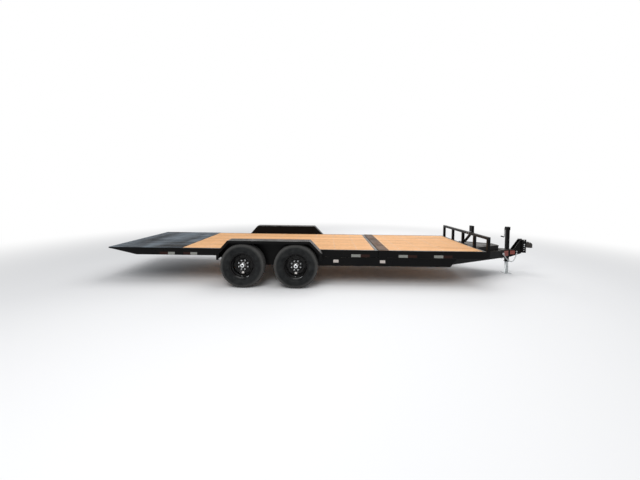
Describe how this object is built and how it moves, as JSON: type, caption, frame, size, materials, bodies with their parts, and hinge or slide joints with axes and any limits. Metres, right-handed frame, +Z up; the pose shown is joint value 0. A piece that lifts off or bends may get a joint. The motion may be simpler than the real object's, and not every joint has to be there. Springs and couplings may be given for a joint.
{
  "type": "tilt equipment trailer",
  "caption": "Tandem-axle trailer whose rear deck tilts to the ground for loading, with a fixed front deck, drive-over fenders, A-frame tongue, ball coupler and drop-leg jack.",
  "frame": {"origin": "on the ground, midway between the tail's edge and the coupler's nose, on the trailer's centre line", "axes": "+X forward to the coupler, +Y to the trailer's left, +Z up"},
  "size_m": [8.325, 2.59, 1.032],
  "materials": {
    "black_enamel": "gloss enamel over welded channel steel",
    "chequer_plate": "black paint over raised-pattern plate, worn by tracks",
    "treated_pine": "fresh treated pine boards",
    "tyre_rubber": "matt black trailer tyre",
    "wheel_paint": "gloss black dish wheel",
    "cast_steel": "black painted cast steel",
    "zinc_plate": "bright zinc plate",
    "red_lens": "red moulded lens"
  },
  "bodies": {
    "chassis": {"axle_front": "black_enamel", "axle_rear": "black_enamel", "ball_coupler": "cast_steel", "coupler_channel": "black_enamel", "deck_latch": "zinc_plate", "fender_left": "black_enamel", "fender_right": "black_enamel", "fixed_deck_boards": "treated_pine", "fixed_deck_frame": "black_enamel", "headboard": "black_enamel", "jack_crank": "zinc_plate", "jack_tube": "black_enamel", "joint_strip": "chequer_plate", "main_crossmember_front": "black_enamel", "main_crossmember_joint": "black_enamel", "main_crossmember_middle": "black_enamel", "main_crossmember_rear": "black_enamel", "main_rail_left": "black_enamel", "main_rail_right": "black_enamel", "pivot_shaft": "zinc_plate", "safety_chain_left": "zinc_plate", "safety_chain_right": "zinc_plate", "spare_carrier": "black_enamel", "tail_lamp_left": "red_lens", "tail_lamp_right": "red_lens", "tongue_gusset": "black_enamel", "tongue_nose": "black_enamel", "tongue_rail_left": "black_enamel", "tongue_rail_right": "black_enamel", "tongue_toolbox": "black_enamel"},
    "tilt_deck": {"tilt_deck_frame": "black_enamel", "tilt_deck_boards": "treated_pine", "tail_chequer_plate": "chequer_plate", "pivot_ear_left": "black_enamel", "pivot_ear_right": "black_enamel", "cylinder_clevis": "black_enamel"},
    "cushion_barrel": {"cylinder_barrel": "black_enamel"},
    "cushion_rod": {"cylinder_rod": "zinc_plate"},
    "jack_leg_body": {"jack_leg": "zinc_plate"},
    "toolbox_lid_body": {"toolbox_lid": "black_enamel"},
    "wheel_rear_left": {"tyre_rear_left": "tyre_rubber", "rim_rear_left": "wheel_paint", "hub_rear_left": "cast_steel"},
    "wheel_rear_right": {"tyre_rear_right": "tyre_rubber", "rim_rear_right": "wheel_paint", "hub_rear_right": "cast_steel"},
    "wheel_front_left": {"tyre_front_left": "tyre_rubber", "rim_front_left": "wheel_paint", "hub_front_left": "cast_steel"},
    "wheel_front_right": {"tyre_front_right": "tyre_rubber", "rim_front_right": "wheel_paint", "hub_front_right": "cast_steel"}
  },
  "joints": [
    {"name": "wheel_rear_left_spin", "type": "hinge", "parent": "chassis", "child": "wheel_rear_left", "pos_m": [-1.6725, 1.1775, 0.385], "axis": [0, 1, 0], "continuous": true},
    {"name": "wheel_rear_right_spin", "type": "hinge", "parent": "chassis", "child": "wheel_rear_right", "pos_m": [-1.6725, -1.1775, 0.385], "axis": [0, 1, 0], "continuous": true},
    {"name": "wheel_front_left_spin", "type": "hinge", "parent": "chassis", "child": "wheel_front_left", "pos_m": [-0.7425, 1.1775, 0.385], "axis": [0, 1, 0], "continuous": true},
    {"name": "wheel_front_right_spin", "type": "hinge", "parent": "chassis", "child": "wheel_front_right", "pos_m": [-0.7425, -1.1775, 0.385], "axis": [0, 1, 0], "continuous": true},
    {"name": "deck_tilt", "type": "hinge", "parent": "chassis", "child": "tilt_deck", "pos_m": [-1.4005, 0, 0.44], "axis": [0, -1, 0], "range_deg": [0, 12.9]},
    {"name": "cushion_barrel_swing", "type": "hinge", "parent": "chassis", "child": "cushion_barrel", "pos_m": [-0.7625, 0, 0.4], "axis": [0, -1, 0], "range_deg": [0, 23.28]},
    {"name": "cushion_rod_slide", "type": "slide", "parent": "cushion_barrel", "child": "cushion_rod", "axis": [0.9957, 0, 0.0927], "range_m": [0, 0.0514]},
    {"name": "jack_leg_slide", "type": "slide", "parent": "chassis", "child": "jack_leg_body", "axis": [0, 0, 1], "range_m": [0, 0.21]},
    {"name": "toolbox_lid_hinge", "type": "hinge", "parent": "chassis", "child": "toolbox_lid_body", "pos_m": [2.779, 0, 0.6063], "axis": [0, -1, 0], "range_deg": [0, 80]}
  ],
  "couplings": [
    {"joint": "cushion_barrel_swing", "follows": "deck_tilt", "ratio": 1.7892},
    {"joint": "cushion_rod_slide", "follows": "deck_tilt", "m_per_rad": 0.22376}
  ]
}
